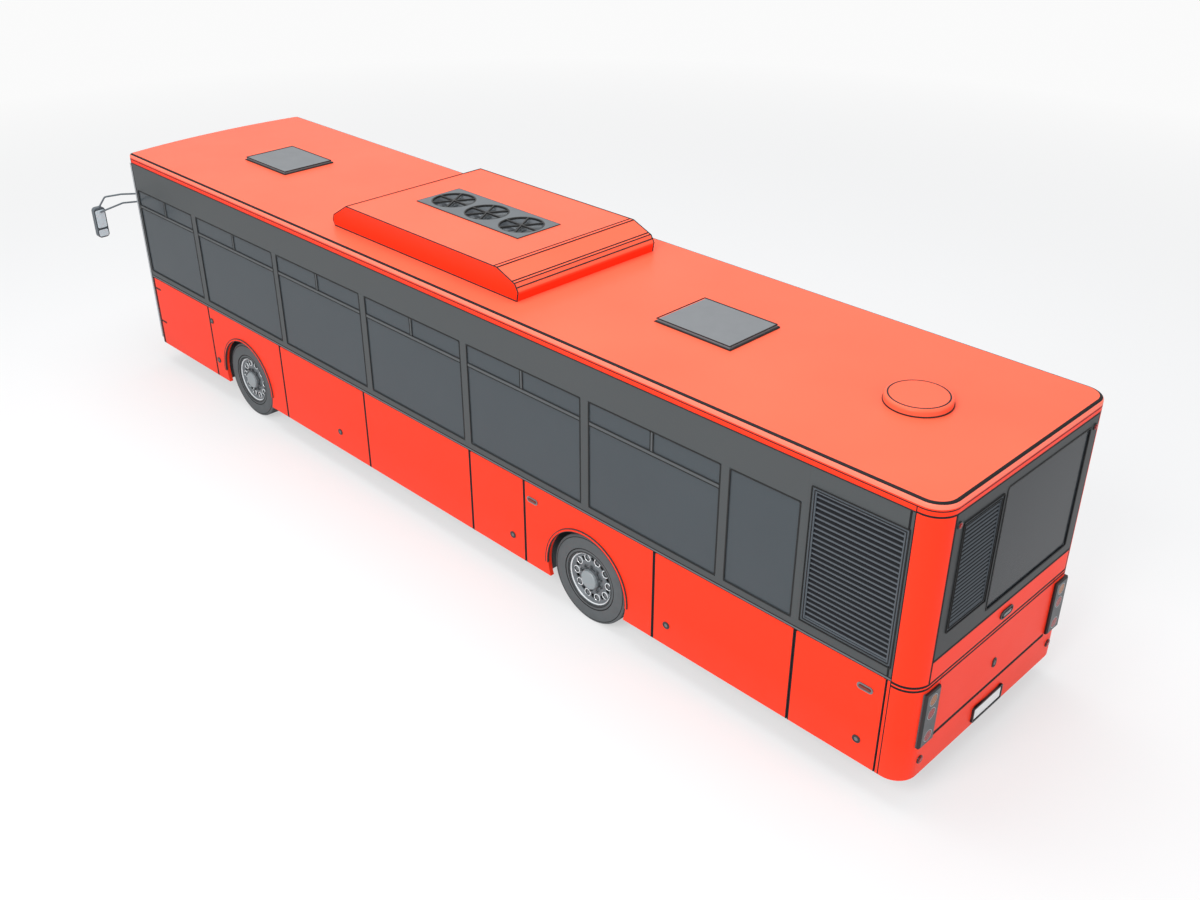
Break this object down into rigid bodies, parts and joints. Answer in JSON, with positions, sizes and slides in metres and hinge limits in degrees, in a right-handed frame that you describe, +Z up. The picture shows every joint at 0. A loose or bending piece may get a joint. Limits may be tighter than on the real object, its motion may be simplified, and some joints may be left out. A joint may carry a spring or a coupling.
{
  "type": "city bus",
  "caption": "Full-size low-entry city bus with hollow glazed cabin, inward-gliding double doors, steered front wheels, twin rear wheels, roof air unit, hatches and service flaps.",
  "frame": {"origin": "on the ground at the middle of the overall length and width", "axes": "+X forward, +Y to the left of the bus, +Z up"},
  "size_m": [12.26, 3.62, 3.2329],
  "materials": {
    "body_paint": "gloss orange-red coach paint, grey along the window band",
    "glass": "dark tinted glass",
    "tyre": "black rubber",
    "rim": "silver paint",
    "door_post": "satin",
    "door_frame": "dark grey powder coat",
    "hatch": "grey moulded plastic",
    "seal": "black seal",
    "grille": "dark grey paint",
    "fan_tray": "dark grey paint",
    "fan": "black plastic",
    "lamp_housing": "dark plastic",
    "lens_red": "clear red plastic",
    "lens_amber": "clear amber plastic",
    "lens_clear": "clear plastic",
    "floor": "speckled grey floor covering",
    "chassis_steel": "black chassis paint",
    "engine": "cast block, plain",
    "inner_panel": "pale grey lining",
    "seat_shell": "dark moulded shell",
    "seat_back": "woven seat fabric",
    "handrail": "yellow powder coat",
    "dashboard": "dark grained plastic",
    "steering_wheel": "black rim",
    "mirror_shell": "dark grey plastic"
  },
  "bodies": {
    "body": {"air_unit": "body_paint", "cab_fittings": "dashboard", "chassis": "chassis_steel", "engine": "engine", "engine_tower": "inner_panel", "fan_tray": "fan_tray", "floor": "floor", "front_axle": "chassis_steel", "front_mask": "body_paint", "glass_sides": "glass", "grilles": "grille", "handrails": "handrail", "lamp_housings": "lamp_housing", "lamps_amber": "lens_amber", "lamps_clear": "lens_clear", "lamps_red": "lens_red", "mirrors": "mirror_shell", "rear_axle": "chassis_steel", "rear_mask": "body_paint", "roof": "body_paint", "seat_backs": "seat_back", "seat_bases": "seat_shell", "wall_left": "body_paint", "wall_right": "body_paint", "window_bars": "seal", "windscreen": "glass"},
    "wheel_front_left": {"rim_front_left": "rim", "tyre_front_left": "tyre"},
    "wheel_front_right": {"rim_front_right": "rim", "tyre_front_right": "tyre"},
    "wheels_rear_left": {"rims_rear_left": "rim", "tyres_rear_left": "tyre"},
    "wheels_rear_right": {"rims_rear_right": "rim", "tyres_rear_right": "tyre"},
    "knuckle_left": {"knuckle_left": "chassis_steel"},
    "knuckle_right": {"knuckle_right": "chassis_steel"},
    "steering_wheel": {"steering_wheel": "steering_wheel"},
    "fan_1": {"fan_1": "fan"},
    "fan_2": {"fan_2": "fan"},
    "fan_3": {"fan_3": "fan"},
    "hatch_front": {"hatch_front": "hatch"},
    "hatch_rear": {"hatch_rear": "hatch"},
    "engine_door": {"engine_door": "body_paint"},
    "flap_battery": {"flap_battery": "body_paint"},
    "flap_tank": {"flap_tank": "body_paint"},
    "flap_radiator": {"flap_radiator": "body_paint"},
    "flap_corner": {"flap_corner": "body_paint"},
    "flap_cab": {"flap_cab": "body_paint"},
    "door_front_post_a": {"door_front_post_a": "door_post"},
    "door_front_leaf_a": {"door_front_leaf_a": "door_frame", "door_front_pane_a": "glass"},
    "door_front_post_b": {"door_front_post_b": "door_post"},
    "door_front_leaf_b": {"door_front_leaf_b": "door_frame", "door_front_pane_b": "glass"},
    "door_middle_post_a": {"door_middle_post_a": "door_post"},
    "door_middle_leaf_a": {"door_middle_leaf_a": "door_frame", "door_middle_pane_a": "glass"},
    "door_middle_post_b": {"door_middle_post_b": "door_post"},
    "door_middle_leaf_b": {"door_middle_leaf_b": "door_frame", "door_middle_pane_b": "glass"}
  },
  "joints": [
    {"name": "steer_left", "type": "hinge", "parent": "body", "child": "knuckle_left", "pos_m": [3.645, 0.93, 0.485], "axis": [0, 0, 1], "range_deg": [-40, 40]},
    {"name": "roll_front_left", "type": "hinge", "parent": "knuckle_left", "child": "wheel_front_left", "pos_m": [3.645, 1.0975, 0.485], "axis": [0, 1, 0], "continuous": true},
    {"name": "roll_rear_left", "type": "hinge", "parent": "body", "child": "wheels_rear_left", "pos_m": [-2.475, 0.94, 0.485], "axis": [0, 1, 0], "continuous": true},
    {"name": "steer_right", "type": "hinge", "parent": "body", "child": "knuckle_right", "pos_m": [3.645, -0.93, 0.485], "axis": [0, 0, 1], "range_deg": [-40, 40]},
    {"name": "roll_front_right", "type": "hinge", "parent": "knuckle_right", "child": "wheel_front_right", "pos_m": [3.645, -1.0975, 0.485], "axis": [0, 1, 0], "continuous": true},
    {"name": "roll_rear_right", "type": "hinge", "parent": "body", "child": "wheels_rear_right", "pos_m": [-2.475, -0.94, 0.485], "axis": [0, 1, 0], "continuous": true},
    {"name": "steering_wheel_turn", "type": "hinge", "parent": "body", "child": "steering_wheel", "pos_m": [5.14, 0.62, 1.34], "axis": [-0.4226, 0, 0.9063], "range_deg": [-720, 720]},
    {"name": "fan_1_spin", "type": "hinge", "parent": "body", "child": "fan_1", "pos_m": [-0.24, 0, 3.17], "axis": [0, 0, 1], "continuous": true},
    {"name": "fan_2_spin", "type": "hinge", "parent": "body", "child": "fan_2", "pos_m": [0.31, 0, 3.17], "axis": [0, 0, 1], "continuous": true},
    {"name": "fan_3_spin", "type": "hinge", "parent": "body", "child": "fan_3", "pos_m": [0.86, 0, 3.17], "axis": [0, 0, 1], "continuous": true},
    {"name": "hatch_front_lift", "type": "hinge", "parent": "body", "child": "hatch_front", "pos_m": [4.6, 0, 2.955], "axis": [0, 1, 0], "range_deg": [0, 75]},
    {"name": "hatch_rear_lift", "type": "hinge", "parent": "body", "child": "hatch_rear", "pos_m": [-2.47, 0, 2.955], "axis": [0, 1, 0], "range_deg": [0, 75]},
    {"name": "engine_door_lift", "type": "hinge", "parent": "body", "child": "engine_door", "pos_m": [-6.096, 0, 1.245], "axis": [0, 1, 0], "range_deg": [0, 90]},
    {"name": "flap_battery_lift", "type": "hinge", "parent": "body", "child": "flap_battery", "pos_m": [1.9195, 1.271, 1.263], "axis": [1, 0, 0], "range_deg": [0, 90]},
    {"name": "flap_tank_lift", "type": "hinge", "parent": "body", "child": "flap_tank", "pos_m": [-1.1885, 1.271, 1.263], "axis": [1, 0, 0], "range_deg": [0, 90]},
    {"name": "flap_radiator_lift", "type": "hinge", "parent": "body", "child": "flap_radiator", "pos_m": [-4.15, 1.271, 1.263], "axis": [1, 0, 0], "range_deg": [0, 90]},
    {"name": "flap_corner_lift", "type": "hinge", "parent": "body", "child": "flap_corner", "pos_m": [-5.3875, 1.271, 1.263], "axis": [1, 0, 0], "range_deg": [0, 90]},
    {"name": "flap_cab_swing", "type": "hinge", "parent": "body", "child": "flap_cab", "pos_m": [5.85, 1.271, 0.78], "axis": [0, 0, -1], "range_deg": [0, 90]},
    {"name": "door_front_open", "type": "hinge", "parent": "body", "child": "door_front_post_a", "pos_m": [4.43, -1.255, 1.42], "axis": [0, 0, 1], "range_deg": [0, 85]},
    {"name": "door_front_leaf_a_turn", "type": "hinge", "parent": "door_front_post_a", "child": "door_front_leaf_a", "pos_m": [4.74, -1.255, 1.42], "axis": [0, 0, 1], "range_deg": [-170, 0]},
    {"name": "door_front_post_b_turn", "type": "hinge", "parent": "body", "child": "door_front_post_b", "pos_m": [5.67, -1.255, 1.42], "axis": [0, 0, 1], "range_deg": [-85, 0]},
    {"name": "door_front_leaf_b_turn", "type": "hinge", "parent": "door_front_post_b", "child": "door_front_leaf_b", "pos_m": [5.36, -1.255, 1.42], "axis": [0, 0, 1], "range_deg": [0, 170]},
    {"name": "door_middle_open", "type": "hinge", "parent": "body", "child": "door_middle_post_a", "pos_m": [-0.47, -1.255, 1.42], "axis": [0, 0, 1], "range_deg": [0, 85]},
    {"name": "door_middle_leaf_a_turn", "type": "hinge", "parent": "door_middle_post_a", "child": "door_middle_leaf_a", "pos_m": [-0.1475, -1.255, 1.42], "axis": [0, 0, 1], "range_deg": [-170, 0]},
    {"name": "door_middle_post_b_turn", "type": "hinge", "parent": "body", "child": "door_middle_post_b", "pos_m": [0.82, -1.255, 1.42], "axis": [0, 0, 1], "range_deg": [-85, 0]},
    {"name": "door_middle_leaf_b_turn", "type": "hinge", "parent": "door_middle_post_b", "child": "door_middle_leaf_b", "pos_m": [0.4975, -1.255, 1.42], "axis": [0, 0, 1], "range_deg": [0, 170]}
  ],
  "couplings": [
    {"joint": "door_front_leaf_a_turn", "follows": "door_front_open", "ratio": -2},
    {"joint": "door_front_post_b_turn", "follows": "door_front_open", "ratio": -1},
    {"joint": "door_front_leaf_b_turn", "follows": "door_front_open", "ratio": 2},
    {"joint": "door_middle_leaf_a_turn", "follows": "door_middle_open", "ratio": -2},
    {"joint": "door_middle_post_b_turn", "follows": "door_middle_open", "ratio": -1},
    {"joint": "door_middle_leaf_b_turn", "follows": "door_middle_open", "ratio": 2},
    {"joint": "steer_right", "follows": "steer_left", "ratio": 1},
    {"joint": "steering_wheel_turn", "follows": "steer_left", "ratio": 18}
  ]
}
